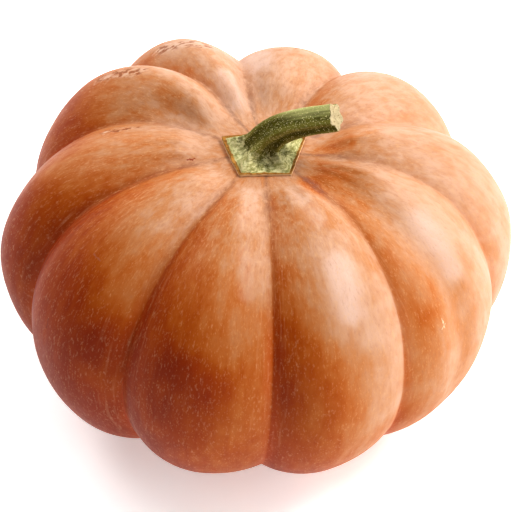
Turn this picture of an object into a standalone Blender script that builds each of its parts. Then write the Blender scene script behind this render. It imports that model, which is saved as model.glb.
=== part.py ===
"""A whole pumpkin with ten swollen ribs, as picked, with its cut stem.

Metres, +Z up. The front is -Y. The origin is on the floor, under the middle of the fruit.
Azimuths are in degrees around the fruit's axis: 0 is the front and 90 is +X, the right side.
"""
import math

import bmesh
import bpy
from mathutils import Vector

# The core is the plain round body that the ribs swell out of.
CORE_RADIUS = 0.132
CORE_RISE = 0.084                 # from the widest level up to the shoulders
CORE_DROP = 0.096                 # from the widest level down to the underside
CORE_FULLNESS = 0.64              # 1 is an ellipse, and less is squarer at the shoulders
WIDEST_HEIGHT = 0.096             # the widest level, above the floor
AXIS_X = 0.0008                   # where the core's axis stands at its widest level
AXIS_Y = -0.0053
LEAN_X = 0.05                     # how far the axis leans, per metre up
LEAN_Y = -0.02

# The shallow hollow at the blossom end underneath, with its scar.
BLOSSOM_HOLLOW_DEPTH = 0.012
BLOSSOM_HOLLOW_RADIUS = 0.040
BLOSSOM_SCAR_RADIUS = 0.007
BLOSSOM_SCAR_HEIGHT = 0.0015

# The hollow around the stem, with a level seat in its middle that the stem stands on.
SEAT_HEIGHT = 0.0795              # above the widest level
SEAT_RADIUS = 0.027
HOLLOW_RADIUS = 0.079             # where the hollow has run out
RIB_START_RADIUS = 0.050          # where the ribs have all their swell

# How a rib's swelling rises from the grooves to its crest, and from the stem to its widest.
CREST_ROUNDNESS = 0.83            # a lower number makes a sharper groove
GROOVE_SOFTENING = 1.2            # the grooves are softer towards the stem
SWELL_GROWTH = 0.83
EVEN_RIB_WIDTH = math.radians(36)
FLOOR_SWELL = 0.013               # the ribs swell alike where they meet the floor
FLOOR_SWELL_START = 0.76          # on the way from the stem, 0, to the blossom end, 1
FLOOR_SWELL_END = 0.88

# One line for each rib, going round to the right from the groove nearest the front.
# The azimuths are those of the groove that the rib starts at: beside the stem, and at the side.
# Swell is the crest's height over the grooves. Reach is how far the rib stands out beyond the
# core's radius, and lift is how far its shoulder stands over the core's. Lean above zero puts
# the crest nearer the next groove.
RIBS = [
    # stem az, side az, swell, reach, lift, lean
    (2, 3, 0.010, 0.0000, 0.000, 0.0),
    (43, 35, 0.006, 0.0055, 0.001, 0.0),
    (81, 74, 0.013, 0.0020, 0.000, -0.1),
    (111, 111, 0.014, -0.0055, 0.000, 0.05),
    (148, 153, 0.015, -0.0080, -0.001, 0.0),
    (192, 186, 0.020, 0.0060, 0.000, 0.35),
    (209, 223, 0.018, 0.0035, 0.005, -0.3),
    (248, 255, 0.015, 0.0030, -0.003, 0.15),
    (288, 288, 0.014, -0.0035, -0.001, 0.0),
    (328, 326, 0.010, -0.0030, 0.000, -0.2),
]

# A furrow is a lesser groove along one rib: the rib's number, its place across the rib beside
# the stem and at its far end (-1 is the rib's first groove and 1 its last), where it starts,
# is half run in, is half run out and ends on the way down, its depth and its half width.
FURROWS = [
    (1, -0.42, -0.17, 0.03, 0.08, 0.38, 0.75, 0.0032, 0.010),
    (6, 0.92, 0.62, 0.01, 0.03, 0.09, 0.14, 0.0025, 0.006),
]

# The stem: a five-cornered foot, flaring out of a ridged neck that bends over to the right.
GAP = 0.0003                      # between the stem and the fruit
STEM_OFFSET_X = -0.002            # of the neck's foot, from the middle of the seat
STEM_OFFSET_Y = -0.0015
# The foot's corners: azimuth, distance out and height of its rim, how soon the foot runs out
# into the neck, and how far the edge from there to the next corner is drawn in at its middle.
FOOT_CORNERS = [
    (40, 0.0260, 0.0020, 4.5, 0.0000),
    (112, 0.0268, 0.0022, 5.0, 0.0020),
    (180, 0.0225, 0.0024, 9.0, 0.0045),
    (247, 0.0236, 0.0034, 14.0, -0.0006),
    (331, 0.0240, 0.0024, 5.0, 0.0000),
]
FOOT_BEVEL = 0.0012
FLARE_HEIGHT = 0.019              # where the foot has run out into the neck
BUTTRESS = 0.35                   # how much slower the foot runs out at its corners
NECK_RADIUS = 0.0068
NECK_ROOT_EXTRA = 0.0024          # how much thicker the neck is at its foot
RIDGE_HEIGHT = 0.0011
BEND_AZIMUTH = 73                 # the way the neck bends over
BEND_REACH = 0.041
BEND_RISE = 0.035
BEND_END_ANGLE = 63               # of the cut end, from upright
BEND_FOOT_PULL = 0.0225           # how stiffly the neck leaves its foot, up and sideways
BEND_FOOT_LEAN = 0.003
BEND_END_PULL = 0.009             # and how stiffly it runs into its cut end
CUT_DISH = 0.0006                 # the dried cut face sinks in a little
CUT_RIM = 0.0005

# How finely the surfaces are faceted.
FACETS_PER_RIB = 12
FRUIT_RINGS = 34
FIRST_RING_RADIUS = 0.020
LAST_RING_RADIUS = 0.014
FACETS_PER_CORNER = 8
FLARE_RINGS = 7
NECK_RINGS = 13

RIB_COUNT = len(RIBS)
CORNER_COUNT = len(FOOT_CORNERS)


def ease(x):
    """Run smoothly from 0 to 1 as x does."""
    x = min(max(x, 0.0), 1.0)
    return x * x * (3 - 2 * x)


def mix(a, b, share):
    return a + (b - a) * share


def core_profile(way):
    """Radius and height of the core, without ribs, from the stem (0) to the blossom end (1)."""
    angle = math.pi * (0.5 - way)
    share = abs(math.cos(angle)) ** CORE_FULLNESS
    radius = CORE_RADIUS * share
    if way <= 0.5:
        height = CORE_RISE * math.sin(angle)
    else:
        height = CORE_DROP * math.sin(angle)
        height += BLOSSOM_HOLLOW_DEPTH * math.exp(-(radius / BLOSSOM_HOLLOW_RADIUS) ** 2)
        height -= BLOSSOM_SCAR_HEIGHT * math.exp(-(radius / BLOSSOM_SCAR_RADIUS) ** 4)
    return radius, height


def core_normal(way):
    """The core's outward direction, as its parts across and up."""
    step = 0.001
    radius_a, height_a = core_profile(max(way - step, 0))
    radius_b, height_b = core_profile(min(way + step, 1))
    length = math.hypot(radius_b - radius_a, height_b - height_a)
    return -(height_b - height_a) / length, (radius_b - radius_a) / length


def way_at_radius(radius, underneath):
    """Where on the way from stem to blossom end the core has this radius."""
    angle = math.acos((radius / CORE_RADIUS) ** (1 / CORE_FULLNESS))
    return 0.5 + angle / math.pi if underneath else 0.5 - angle / math.pi


def groove_azimuth(number, way):
    """Azimuth of a groove, in radians. Numbers past the last rib go round again."""
    stem_azimuth, side_azimuth = RIBS[number % RIB_COUNT][:2]
    turn = 360 * (number // RIB_COUNT)
    share = math.sin(math.pi * way)
    return math.radians(mix(stem_azimuth, side_azimuth, share) + turn)


def between_ribs(number, column, across):
    """A rib's own value at its crest, running smoothly into its neighbours' at the grooves."""
    own = RIBS[number][column]
    if across < 0:
        neighbour = RIBS[(number - 1) % RIB_COUNT][column]
    else:
        neighbour = RIBS[(number + 1) % RIB_COUNT][column]
    return mix(own, neighbour, ease(abs(across) / 2))


def furrow_depth(number, across, way, rib_width):
    depth = 0.0
    for rib, stem_place, far_place, start, full, fading, end, deepest, half_width in FURROWS:
        if rib == number and start < way < end:
            place = mix(stem_place, far_place, ease((way - start) / (fading - start)))
            off = (across - place) * rib_width / 2 / half_width
            run = ease((way - start) / (full - start)) * (1 - ease((way - fading) / (end - fading)))
            depth += deepest * run * math.exp(-off * off)
    return depth


def fruit_point(number, across, way):
    """A point of the skin: rib number, place across it (-1 to 1), way down from the stem."""
    azimuth_a = groove_azimuth(number, way)
    azimuth_b = groove_azimuth(number + 1, way)
    azimuth = mix(azimuth_a, azimuth_b, (across + 1) / 2)
    radius, height = core_profile(way)
    out, up = core_normal(way)
    share = radius / CORE_RADIUS
    floor_share = ease((way - FLOOR_SWELL_START) / (FLOOR_SWELL_END - FLOOR_SWELL_START))
    swell = mix(RIBS[number][2], FLOOR_SWELL, floor_share)
    swell *= share ** SWELL_GROWTH * (azimuth_b - azimuth_a) / EVEN_RIB_WIDTH
    roundness = CREST_ROUNDNESS + GROOVE_SOFTENING * (1 - share) ** 2
    crest = max(1 - across * across, 0) ** roundness
    swell *= crest * (1 + RIBS[number][5] * across)
    swell -= furrow_depth(number, across, way, (azimuth_b - azimuth_a) * radius)
    radius = (radius + swell * out) * (1 + between_ribs(number, 3, across) / CORE_RADIUS)
    if height > 0:
        # The ribs begin close round the stem, and the level seat runs out slowly under them.
        rib_share = ease((radius - SEAT_RADIUS) / (RIB_START_RADIUS - SEAT_RADIUS))
        bowl_share = ease((radius - SEAT_RADIUS) / (HOLLOW_RADIUS - SEAT_RADIUS))
        lifted = height * (1 + between_ribs(number, 4, across) / CORE_RISE)
        height = mix(SEAT_HEIGHT, lifted, bowl_share) + swell * up * rib_share
    else:
        height += swell * up
    x = AXIS_X + radius * math.sin(azimuth) + LEAN_X * height
    y = AXIS_Y - radius * math.cos(azimuth) + LEAN_Y * height
    # Its own weight has pressed the lowest part of each rib flat on the floor.
    return Vector((x, y, max(height + WIDEST_HEIGHT, 0)))


def closed_tube(name, start, rings, end):
    """A closed solid: a middle point, rings of points one after another, a last middle point."""
    mesh = bmesh.new()
    first = mesh.verts.new(start)
    loops = [[mesh.verts.new(point) for point in ring] for ring in rings]
    last = mesh.verts.new(end)
    count = len(loops[0])
    for i in range(count):
        j = (i + 1) % count
        mesh.faces.new((first, loops[0][i], loops[0][j]))
        mesh.faces.new((last, loops[-1][j], loops[-1][i]))
        for upper, lower in zip(loops, loops[1:]):
            mesh.faces.new((upper[i], lower[i], lower[j], upper[j]))
    bmesh.ops.triangulate(mesh, faces=list(mesh.faces))
    bmesh.ops.recalc_face_normals(mesh, faces=list(mesh.faces))
    for face in mesh.faces:
        face.smooth = True
    data = bpy.data.meshes.new(name)
    mesh.to_mesh(data)
    mesh.free()
    piece = bpy.data.objects.new(name, data)
    bpy.context.scene.collection.objects.link(piece)
    return piece


def give_material(piece, name, colour, roughness):
    material = bpy.data.materials.new(name)
    material.use_nodes = True
    shader = material.node_tree.nodes["Principled BSDF"]
    shader.inputs["Base Color"].default_value = (*colour, 1)
    shader.inputs["Roughness"].default_value = roughness
    material.diffuse_color = (*colour, 1)
    piece.data.materials.append(material)


def make_fruit():
    first_way = way_at_radius(FIRST_RING_RADIUS, underneath=False)
    last_way = way_at_radius(LAST_RING_RADIUS, underneath=True)
    rings = []
    for i in range(FRUIT_RINGS):
        # The rings lie closer together at both hollows than around the sides.
        share = 0.5 - 0.5 * math.cos(math.pi * i / (FRUIT_RINGS - 1))
        way = mix(first_way, last_way, mix(i / (FRUIT_RINGS - 1), share, 0.6))
        ring = []
        for number in range(RIB_COUNT):
            for j in range(FACETS_PER_RIB):
                across = math.sin(math.pi * (j / FACETS_PER_RIB - 0.5))
                ring.append(fruit_point(number, across, way))
        rings.append(ring)
    seat_middle = fruit_point(0, -1, 0.0)
    blossom_middle = fruit_point(0, -1, 1.0)
    fruit = closed_tube("pumpkin_fruit", seat_middle, rings, blossom_middle)
    give_material(fruit, "pumpkin_skin", (0.62, 0.21, 0.06), 0.45)
    return fruit


def seat_middle():
    x = AXIS_X + LEAN_X * SEAT_HEIGHT
    y = AXIS_Y + LEAN_Y * SEAT_HEIGHT
    return Vector((x, y, WIDEST_HEIGHT + SEAT_HEIGHT))


def neck_line(along):
    """A point of the neck's middle line and its direction, from the foot (0) to the cut (1)."""
    sideways = Vector((math.sin(math.radians(BEND_AZIMUTH)), -math.cos(math.radians(BEND_AZIMUTH)), 0))
    up = Vector((0, 0, 1))
    end_angle = math.radians(BEND_END_ANGLE)
    end_direction = math.sin(end_angle) * sideways + math.cos(end_angle) * up
    foot = seat_middle() + Vector((STEM_OFFSET_X, STEM_OFFSET_Y, GAP))
    end = foot + BEND_REACH * sideways + BEND_RISE * up
    foot_pull = foot + BEND_FOOT_PULL * up + BEND_FOOT_LEAN * sideways
    end_pull = end - BEND_END_PULL * end_direction
    back = 1 - along
    point = (back ** 3 * foot + 3 * along * back ** 2 * foot_pull
             + 3 * along ** 2 * back * end_pull + along ** 3 * end)
    direction = (back ** 2 * (foot_pull - foot) + 2 * along * back * (end_pull - foot_pull)
                 + along ** 2 * (end - end_pull))
    return point, direction.normalized(), sideways


def foot_outline(corner, share):
    """The foot's edge, a share of the way from one corner to the next.

    Gives its azimuth, distance out and rim height, and how soon the foot runs out from there.
    """
    azimuth_a, out_a, rim_a, sharpness_a, drawn_in = FOOT_CORNERS[corner]
    azimuth_b, out_b, rim_b, sharpness_b, _ = FOOT_CORNERS[(corner + 1) % CORNER_COUNT]
    azimuth_a = math.radians(azimuth_a)
    azimuth_b = math.radians(azimuth_b + (360 if azimuth_b < math.degrees(azimuth_a) else 0))
    azimuth = mix(azimuth_a, azimuth_b, share)
    # Where the ray at this azimuth meets the straight line between the corners, then drawn in.
    spread = math.sin(azimuth_b - azimuth_a) * out_a * out_b
    out = spread / (out_a * math.sin(azimuth - azimuth_a) + out_b * math.sin(azimuth_b - azimuth))
    out -= drawn_in * math.sin(math.pi * share)
    sharpness = mix(sharpness_a, sharpness_b, share) * (1 - BUTTRESS * math.cos(2 * math.pi * share))
    return azimuth, out, mix(rim_a, rim_b, share), sharpness


def neck_point(along, azimuth, share, inset=0.0):
    """A point of the neck, or one that lies inset under its surface."""
    middle, direction, sideways = neck_line(along)
    level = Vector((0, 0, 1)).cross(sideways)
    outward = level.cross(direction)
    ridge = RIDGE_HEIGHT * math.cos(2 * math.pi * share)
    radius = NECK_RADIUS + NECK_ROOT_EXTRA * (1 - along) ** 3 + ridge
    turn = azimuth - math.radians(BEND_AZIMUTH)
    return middle + (radius - inset) * (math.cos(turn) * outward + math.sin(turn) * level)


def foot_point(base, azimuth, distance, height):
    return base + Vector((math.sin(azimuth) * distance, -math.cos(azimuth) * distance, height))


def make_stem():
    base = seat_middle() + Vector((STEM_OFFSET_X, STEM_OFFSET_Y, GAP))
    columns = []
    for corner in range(CORNER_COUNT):
        for j in range(FACETS_PER_CORNER):
            share = j / FACETS_PER_CORNER
            columns.append((*foot_outline(corner, share), share))
    rings = []
    for bevel, height in ((0.3, 0.0), (0.0, 0.45), (1.0, 1.0)):
        ring = []
        for azimuth, out, rim, _, _ in columns:
            ring.append(foot_point(base, azimuth, out - bevel * FOOT_BEVEL, height * rim))
        rings.append(ring)
    # The foot's upper side narrows into the neck, fast at first.
    length = BEND_REACH + BEND_RISE
    flare_end = FLARE_HEIGHT / length * 1.3
    for i in range(1, FLARE_RINGS):
        ring = []
        for azimuth, out, rim, sharpness, share in columns:
            left = (1 - i / FLARE_RINGS) ** sharpness
            along = mix(rim * 0.45 / length, flare_end, i / FLARE_RINGS)
            rise = neck_line(along)[0].z - base.z
            edge = foot_point(base, azimuth, out - FOOT_BEVEL, rise)
            point = neck_point(along, azimuth, share).lerp(edge, left)
            # The leaning neck's lower side ends on the foot's rim, not under it.
            point.z = max(point.z, base.z + 0.45 * rim)
            ring.append(point)
        rings.append(ring)
    for i in range(NECK_RINGS):
        along = mix(flare_end, 1.0, i / (NECK_RINGS - 1))
        rings.append([neck_point(along, azimuth, share) for azimuth, _, _, _, share in columns])
    end, direction, _ = neck_line(1.0)
    cut = []
    for azimuth, _, _, _, share in columns:
        point = neck_point(1.0, azimuth, share, 0.12 * NECK_RADIUS)
        cut.append(point + direction * CUT_RIM)
    rings.append(cut)
    stem = closed_tube("pumpkin_stem", base, rings, end - direction * CUT_DISH)
    give_material(stem, "pumpkin_stem", (0.16, 0.17, 0.03), 0.7)
    return stem


for leftover in list(bpy.data.objects):
    bpy.data.objects.remove(leftover, do_unlink=True)

make_fruit()
make_stem()
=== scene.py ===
"""The looks of a whole ribbed pumpkin with its cut stem: fine meshes, materials, light and camera.

Metres, +Z up. The front is -Y. Azimuths are around the fruit's axis: 0 is the front, 90 is +X.
"""
import math

import bpy
import numpy as np
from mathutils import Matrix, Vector, noise


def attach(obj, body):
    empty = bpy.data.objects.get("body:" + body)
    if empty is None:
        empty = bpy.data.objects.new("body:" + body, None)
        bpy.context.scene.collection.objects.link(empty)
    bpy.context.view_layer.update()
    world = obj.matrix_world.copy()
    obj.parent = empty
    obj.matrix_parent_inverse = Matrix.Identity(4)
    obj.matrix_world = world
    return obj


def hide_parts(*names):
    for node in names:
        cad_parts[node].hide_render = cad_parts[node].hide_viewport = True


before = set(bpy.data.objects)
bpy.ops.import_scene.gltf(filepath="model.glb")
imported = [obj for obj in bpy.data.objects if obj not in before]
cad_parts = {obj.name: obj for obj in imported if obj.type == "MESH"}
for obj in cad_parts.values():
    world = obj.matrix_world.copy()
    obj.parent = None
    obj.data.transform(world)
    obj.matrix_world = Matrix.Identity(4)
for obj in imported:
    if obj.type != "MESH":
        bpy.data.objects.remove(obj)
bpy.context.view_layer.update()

# The fruit's shape, as in the solids. The core is the plain round body that the ribs swell out of.
CORE_RADIUS = 0.132
CORE_RISE = 0.084
CORE_DROP = 0.096
CORE_FULLNESS = 0.64  # 1 is an ellipse, and less is squarer at the shoulders
WIDEST_HEIGHT = 0.096
AXIS_X = 0.0008  # where the core's axis stands at its widest level
AXIS_Y = -0.0053
FRUIT_MIDDLE = Vector((AXIS_X, AXIS_Y, WIDEST_HEIGHT))
LEAN_X = 0.05  # how far the axis leans, per metre up
LEAN_Y = -0.02
BLOSSOM_HOLLOW_DEPTH = 0.012
BLOSSOM_HOLLOW_RADIUS = 0.040
BLOSSOM_SCAR_RADIUS = 0.007
BLOSSOM_SCAR_HEIGHT = 0.0015
SEAT_HEIGHT = 0.0795
SEAT_RADIUS = 0.027
HOLLOW_RADIUS = 0.079
RIB_START_RADIUS = 0.050
CREST_ROUNDNESS = 0.83  # a lower number makes a sharper groove
GROOVE_SOFTENING = 1.2  # the grooves are softer towards the stem
SWELL_GROWTH = 0.83
EVEN_RIB_WIDTH = math.radians(36)
FLOOR_SWELL = 0.013  # the ribs swell alike where they meet the floor
FLOOR_SWELL_START = 0.76  # on the way from the stem, 0, to the blossom end, 1
FLOOR_SWELL_END = 0.88
SWELL, REACH, LIFT, LEAN = 2, 3, 4, 5  # columns of the ribs' table
RIBS = [
    # groove's azimuth at the stem, and at the side, swell, reach, lift, lean
    (2, 3, 0.010, 0.0000, 0.000, 0.0),
    (43, 35, 0.006, 0.0055, 0.001, 0.0),
    (81, 74, 0.013, 0.0020, 0.000, -0.1),
    (111, 111, 0.014, -0.0055, 0.000, 0.05),
    (148, 153, 0.015, -0.0080, -0.001, 0.0),
    (192, 186, 0.020, 0.0060, 0.000, 0.35),
    (209, 223, 0.018, 0.0035, 0.005, -0.3),
    (248, 255, 0.015, 0.0030, -0.003, 0.15),
    (288, 288, 0.014, -0.0035, -0.001, 0.0),
    (328, 326, 0.010, -0.0030, 0.000, -0.2),
]
FURROWS = [
    # rib, stem place, far place, start, full, fading, end, depth, half width
    (1, -0.42, -0.17, 0.03, 0.08, 0.38, 0.75, 0.0032, 0.010),
    (6, 0.92, 0.62, 0.01, 0.03, 0.09, 0.14, 0.0025, 0.006),
]
RIB_COUNT = len(RIBS)

# The stem's shape, as in the solids.
STEM_OFFSET_X = -0.002
STEM_OFFSET_Y = -0.0015
FOOT_CORNERS = [
    # azimuth, distance out, rim height, sharpness, drawn in
    (40, 0.0260, 0.0020, 4.5, 0.0000),
    (112, 0.0268, 0.0022, 5.0, 0.0020),
    (180, 0.0225, 0.0024, 9.0, 0.0045),
    (247, 0.0236, 0.0034, 14.0, -0.0006),
    (331, 0.0240, 0.0024, 5.0, 0.0000),
]
FOOT_BEVEL = 0.0012
FLARE_HEIGHT = 0.019
BUTTRESS = 0.35  # how much slower the foot runs out at its corners
NECK_RADIUS = 0.0068
NECK_ROOT_EXTRA = 0.0024
RIDGE_HEIGHT = 0.0011
BEND_AZIMUTH = 73
BEND_REACH = 0.041
BEND_RISE = 0.035
BEND_END_ANGLE = 63  # of the cut end, from upright
BEND_FOOT_PULL = 0.0225
BEND_FOOT_LEAN = 0.003
BEND_END_PULL = 0.009
CUT_DISH = 0.0006
CUT_RIM = 0.0005
CORNER_COUNT = len(FOOT_CORNERS)
NECK_LENGTH = BEND_REACH + BEND_RISE
FLARE_START = 0.45  # at this share of the rim's height
FLARE_END = FLARE_HEIGHT / NECK_LENGTH * 1.3  # along the neck

# Finer form of the stem: its ragged brown rim, its buttresses, and the hollows between them.
RIM_BANDS = [0.0010, 0.0008, 0.0012, 0.0022, 0.0014]  # how far the brown reaches in, by corner
RIM_SIDE = [
    # share of the bevel drawn in, share of the rim's height, how cream
    (0.60, -0.10, 1.0),
    (0.10, 0.05, 1.0),
    (0.00, 0.22, 1.0),
    (0.05, 0.50, 0.8),
    (0.25, 0.85, 0.0),
]
RIM_WOBBLES_PER_RADIAN = 5
RIM_WOBBLE = 0.0006  # how far they draw the rim in
RIM_HEIGHT_WOBBLE = 0.15  # the shares by which its height and its band vary
RIM_BAND_WOBBLE = 0.5
LOWEST_FACE = 0.5  # of the foot's upper face, as a share of the rim's height
FOOT_RELIEF_ONSET = 3  # its relief is whole from a third of the brown band inwards
BUTTRESS_HEIGHT = 0.0012
BUTTRESS_SHARPNESS = 6
HOLLOW_ONSET = 8  # how fast the hollows set in behind the rim
FOOT_HOLLOWS = [
    # azimuth, distance out, radius, depth, how dark
    (84, 0.0125, 0.0045, 0.0014, 1.0),
    (50, 0.0100, 0.0040, 0.0008, 0.6),
    (352, 0.0110, 0.0050, 0.0006, 0.9),
    (14, 0.0155, 0.0040, 0.0004, 0.8),
    (300, 0.0110, 0.0045, 0.0006, 0.5),
    (255, 0.0115, 0.0030, 0.0003, 0.8),
]
FOOT_LUMP_HEIGHT = 0.0005
FOOT_LUMPS_PER_METRE = 330
FOOT_LUMP_ONSET = 6  # how fast they fade out where the foot runs into the neck
RIM_LIGHT_AZIMUTH = 219  # azimuth of a pale strip of painted rim light along the neck's upper edge
RIM_LIGHT_WIDTH = 13
# Painted light: the bent neck's upper side is painted paler, where the lamps above fall on it.
UPPER_SIDE = 243  # azimuth of the bent neck's upper side, which is paler
BENT_START = 0.08  # along the neck, where its upper side begins to turn up
BENT_RUN = 0.60  # and how far on from there it has turned
FIBRE_HEIGHT = 0.0003
FIBRES_PER_RADIAN = 6
FIBRE_CHANGE = 3  # how fast the fibres change along the neck
CUT_WOBBLE = 0.0006
CUT_WOBBLES_PER_RADIAN = 4
CUT_WOBBLE_CHANGE = 9  # how fast they change towards the cut's middle
CUT_FACE = [
    # share of the neck's radius drawn in, and how many rim heights it is sunk
    (0.02, -0.9),
    (0.10, -1.2),
    (0.22, -0.6),
    (0.40, 0.2),
    (0.60, 0.6),
    (0.80, 0.9),
]
STEM_MARKS = ("rim", "edge", "cut", "foot", "ridge", "shade", "rim_light", "upper")

# Low relief of the skin: how high it stands, how many lumps or folds there are to a metre or to
# a radian, and how fast the folds change on the way down.
LUMP_HEIGHT = 0.0011
LUMPS_PER_METRE = 26
FOLD_HEIGHT = 0.0007
FOLDS_PER_RADIAN = 5
FOLD_CHANGE = 0.5
STEM_FOLD_HEIGHT = 0.0013
STEM_FOLDS_PER_RADIAN = 9
STEM_FOLD_CHANGE = 0.6
STEM_FOLDS_END = 0.13  # on the way down, and how slowly they fade out before it
STEM_FOLDS_FADE = 0.10
RELIEF_END = 0.72  # the same for all the relief, above the floor
RELIEF_FADE = 0.10
GROOVE_ROUNDING = 0.034  # how far across a rib the groove's bottom is rounded

# How ripe the skin looks at each way down from the stem. Painted light makes it paler where it faces
# the lamps and riper where it faces away, and it is paler all across the fruit towards its pale half.
RIPENESS_BY_WAY = [
    (0.04, 0.42),
    (0.16, 0.45),
    (0.28, 0.49),
    (0.36, 0.52),
    (0.44, 0.47),
    (0.52, 0.43),
    (0.62, 0.43),
    (0.75, 0.48),
]
# Painted light: the skin is painted paler where it faces the lamps, and riper, darker, where it faces
# away.
LIT_SIDE_AZIMUTH = math.radians(94)
LIT_SIDE_ELEVATION = math.radians(33)
LIT_SIDE_PALING = 0.46
PALE_HALF_AZIMUTH = math.radians(151)
PALE_HALF_PALING = 0.18
LEAST_RIPE = 0.08
CLOUD_REACH = 1.25  # in half widths: a cloud is whole within 0.25 and gone at 1.25
# Clouds on the skin, riper or paler: each lies round a line between two places. Most are the skin's
# own clouding. The paler ones marked below are painted sheen and painted light, and one riper one is
# partly painted shade.
CLOUDS_AND_PAINTED_LIGHT = [
    # rib, across, way, and the same for its other end, half width, how much riper
    (9, -0.12, 0.370, 9, 0.16, 0.395, 0.016, 0.22),
    (9, -0.20, 0.470, 9, 0.10, 0.500, 0.016, 0.12),
    (8, -0.85, 0.200, 8, -0.80, 0.420, 0.015, 0.14),
    (8, 0.30, 0.430, 8, 0.60, 0.400, 0.016, 0.10),
    (8, 0.00, 0.560, 8, 0.90, 0.600, 0.034, 0.22),
    (9, -0.30, 0.400, 9, 0.05, 0.400, 0.022, 0.06),
    (8, 0.75, 0.370, 8, 0.75, 0.420, 0.014, 0.10),
    (6, 0.40, 0.085, 6, 0.50, 0.060, 0.010, 0.04),
    (1, -0.55, 0.050, 1, -0.60, 0.310, 0.015, 0.22),
    # Riper, and partly painted shade in the hollow beside the foot's right corner.
    (2, -0.75, 0.030, 2, -0.30, 0.058, 0.006, 0.17),
    (1, 0.20, 0.035, 1, 0.20, 0.085, 0.007, 0.13),
    (0, 0.88, 0.035, 0, 0.90, 0.060, 0.005, 0.20),
    (0, -0.10, 0.040, 0, 0.00, 0.065, 0.008, -0.12),
    (9, -0.10, 0.050, 9, 0.30, 0.050, 0.009, -0.10),
    # Paler, as painted light on flanks that face away from the lamps: this row and the next.
    (8, 0.30, 0.190, 8, 0.65, 0.270, 0.018, -0.10),
    (6, 0.85, 0.160, 6, 0.68, 0.080, 0.014, -0.08),
    (6, 0.46, 0.300, 7, -0.50, 0.230, 0.016, 0.10),
    (0, -0.40, 0.070, 0, -0.60, 0.130, 0.010, -0.09),
    (0, 0.60, 0.120, 0, 0.80, 0.200, 0.012, 0.10),
    # Painted sheen where the lamps glint on the right shoulders: this row and the next three.
    (0, 0.02, 0.170, 0, 0.15, 0.290, 0.018, -0.18),
    (0, 0.75, 0.320, 0, 0.80, 0.500, 0.020, -0.15),
    (1, 0.12, 0.190, 1, -0.02, 0.270, 0.016, -0.16),
    (2, -0.70, 0.200, 2, -0.72, 0.290, 0.014, -0.12),
    (4, 0.80, 0.060, 4, 0.85, 0.200, 0.018, -0.32),
    (5, 0.60, 0.070, 5, 0.80, 0.200, 0.018, -0.22),
    (6, -0.20, 0.060, 6, 0.50, 0.060, 0.014, -0.06),
    (8, 0.10, 0.080, 8, 0.10, 0.240, 0.014, -0.08),
    (7, -0.10, 0.130, 7, -0.10, 0.240, 0.016, -0.08),
]
# Painted sheen, whitish-lilac where the lamps glint on the skin: the same, and how much it covers.
PAINTED_SHEEN_PLACES = [
    (0, 0.20, 0.185, 0, 0.20, 0.265, 0.009, 0.45),
    (1, 0.10, 0.190, 1, 0.02, 0.285, 0.009, 0.40),
    (4, 0.60, 0.130, 4, 0.70, 0.170, 0.010, 0.40),
    (5, -0.10, 0.045, 5, 0.00, 0.085, 0.008, 0.45),
    (0, 0.10, 0.045, 0, 0.15, 0.110, 0.006, 0.22),
    (9, 0.20, 0.045, 9, 0.30, 0.110, 0.006, 0.20),
    (9, 0.45, 0.150, 9, 0.58, 0.220, 0.005, 0.16),
]
# The skin's colours, from the palest places to the ripest, and those of its fine marks.
SKIN_COLOURS = [
    (0.00, (0.640, 0.395, 0.270)),
    (0.10, (0.605, 0.348, 0.218)),
    (0.20, (0.578, 0.298, 0.158)),
    (0.30, (0.560, 0.248, 0.103)),
    (0.40, (0.545, 0.200, 0.060)),
    (0.50, (0.512, 0.152, 0.028)),
    (0.60, (0.468, 0.112, 0.010)),
    (0.72, (0.415, 0.077, 0.003)),
    (0.85, (0.362, 0.050, 0.001)),
    (1.00, (0.300, 0.032, 0.001)),
]
BURNT = (0.33, 0.050, 0.003)
PALE = (0.72, 0.45, 0.25)
# Partly painted light: brightened to stand in for the glow of light through the skin in the grooves.
GROOVE_BURNT_AND_GLOW = (0.56, 0.095, 0.006)
GROOVE_BROWN = (0.35, 0.110, 0.035)
GROOVE_GREY = (0.28, 0.17, 0.140)
SPECKLE = (0.76, 0.46, 0.19)
# The whitish-lilac of the painted sheen.
SHEEN_WHITE = (0.80, 0.63, 0.56)

DOT_EDGE = 0.08  # how soft a speckle's edge is, as a share of its cell
MARK_CORE = 0.3  # the share of a mark's half width that it covers wholly
# Small marks on the skin, each a short line between two places, and its half width in metres.
SCRATCHES = [
    # rib, across, way, and the same for its other end, half width, colour
    (7, 0.71, 0.046, 7, 0.74, 0.055, 0.0005, (0.33, 0.06, 0.02)),
    (7, 0.76, 0.049, 7, 0.70, 0.052, 0.0004, (0.33, 0.06, 0.02)),
    (8, -0.86, 0.128, 8, -0.82, 0.142, 0.0006, (0.80, 0.50, 0.35)),
    (1, -0.45, 0.352, 1, -0.43, 0.375, 0.0005, (0.85, 0.60, 0.42)),
    (1, -0.48, 0.372, 1, -0.41, 0.366, 0.0004, (0.85, 0.60, 0.42)),
    (8, -0.11, 0.408, 8, -0.10, 0.428, 0.0006, (0.20, 0.03, 0.01)),
    (8, 0.03, 0.255, 8, 0.18, 0.256, 0.0007, (0.45, 0.16, 0.08)),
    (4, -0.07, 0.203, 4, -0.06, 0.206, 0.0007, (0.25, 0.05, 0.02)),
]
# Corky, cracked patches: the same two places, and the patch's half width.
CORKY_PATCHES = [
    (5, 0.50, 0.248, 5, -0.15, 0.180, 0.0085),
    (6, -0.02, 0.235, 6, -0.12, 0.165, 0.0062),
    (7, -0.60, 0.170, 7, -0.67, 0.125, 0.0030),
]
CORK = (0.68, 0.45, 0.32)
CRACK = (0.38, 0.125, 0.040)

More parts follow.
